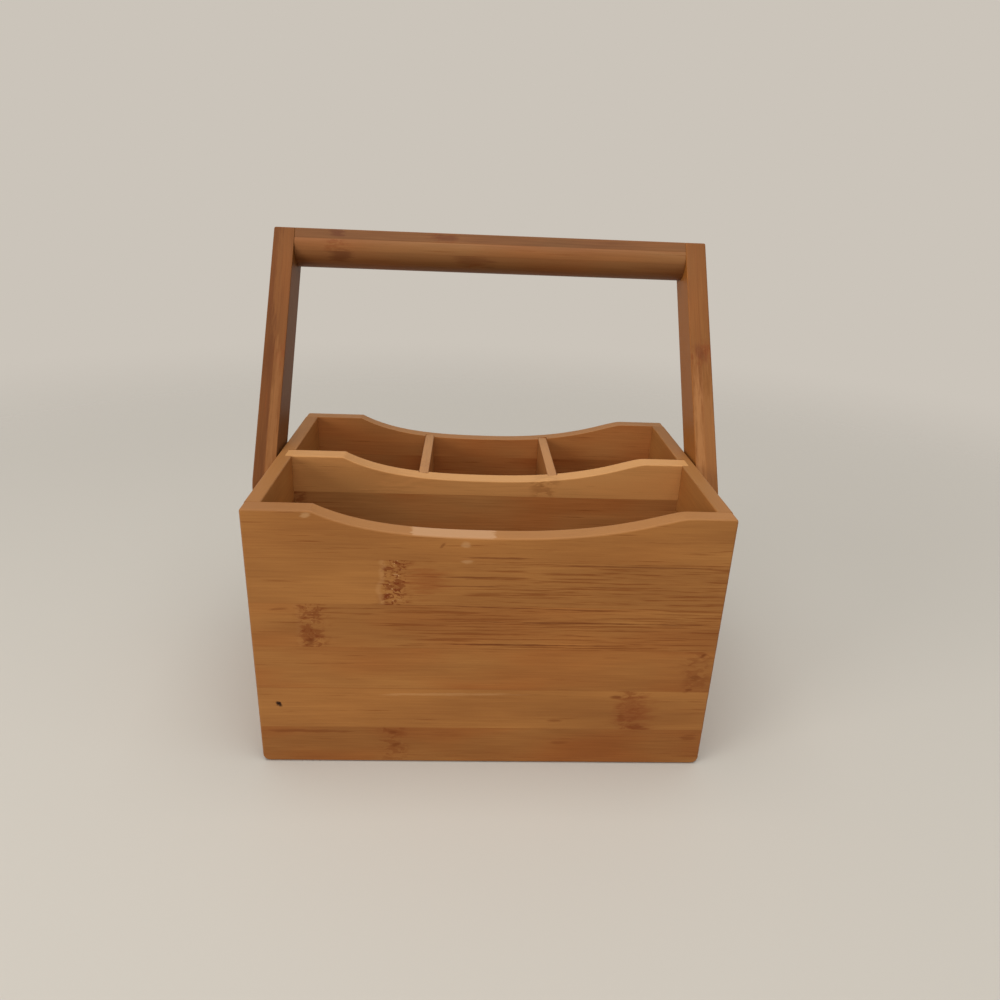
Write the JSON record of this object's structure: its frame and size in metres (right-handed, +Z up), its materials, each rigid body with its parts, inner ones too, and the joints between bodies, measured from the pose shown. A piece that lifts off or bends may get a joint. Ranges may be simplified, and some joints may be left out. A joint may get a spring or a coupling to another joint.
{
  "type": "table caddy",
  "caption": "Bamboo table caddy with a long front compartment, smaller rear compartments, dipped edges and a bail handle that swings on side pivots.",
  "frame": {"origin": "middle of the underside, on the surface that the caddy stands on", "axes": "+X to the right along the width, +Y to the back, +Z up"},
  "size_m": [0.2838, 0.1943, 0.2828],
  "materials": {
    "panel_bamboo": "carbonised laminated bamboo, satin clear lacquer",
    "inner_bamboo": "carbonised laminated bamboo, satin clear lacquer",
    "handle_bamboo": "darker carbonised bamboo plies, satin clear lacquer",
    "dowel_wood": "plain fluted birch, unfinished",
    "steel": "zinc plated, satin"
  },
  "bodies": {
    "box": {"front_panel": "panel_bamboo", "back_panel": "panel_bamboo", "right_end_panel": "panel_bamboo", "left_end_panel": "panel_bamboo", "middle_divider": "inner_bamboo", "left_cross_divider": "inner_bamboo", "right_cross_divider": "inner_bamboo", "bottom_board": "inner_bamboo", "right_pivot_screw": "steel", "left_pivot_screw": "steel", "right_spacer_washer": "steel", "left_spacer_washer": "steel", "right_head_washer": "steel", "left_head_washer": "steel", "front_left_dowel_1": "dowel_wood", "front_left_dowel_2": "dowel_wood", "front_left_dowel_3": "dowel_wood", "front_right_dowel_1": "dowel_wood", "front_right_dowel_2": "dowel_wood", "front_right_dowel_3": "dowel_wood", "back_left_dowel_1": "dowel_wood", "back_left_dowel_2": "dowel_wood", "back_left_dowel_3": "dowel_wood", "back_right_dowel_1": "dowel_wood", "back_right_dowel_2": "dowel_wood", "back_right_dowel_3": "dowel_wood", "bottom_brad_1": "steel", "bottom_brad_2": "steel", "bottom_brad_3": "steel", "bottom_brad_4": "steel", "bottom_brad_5": "steel", "bottom_brad_6": "steel", "bottom_brad_7": "steel", "bottom_brad_8": "steel", "bottom_brad_9": "steel", "bottom_brad_10": "steel", "bottom_brad_11": "steel", "bottom_brad_12": "steel"},
    "handle": {"handle_right_upright": "handle_bamboo", "handle_left_upright": "handle_bamboo", "handle_crossbar": "handle_bamboo", "handle_right_dowel_1": "dowel_wood", "handle_right_dowel_2": "dowel_wood", "handle_left_dowel_1": "dowel_wood", "handle_left_dowel_2": "dowel_wood"}
  },
  "joints": [
    {"name": "handle_pivot", "type": "hinge", "parent": "box", "child": "handle", "pos_m": [0, 0, 0.1375], "axis": [1, 0, 0], "range_deg": [-103, 173]}
  ]
}
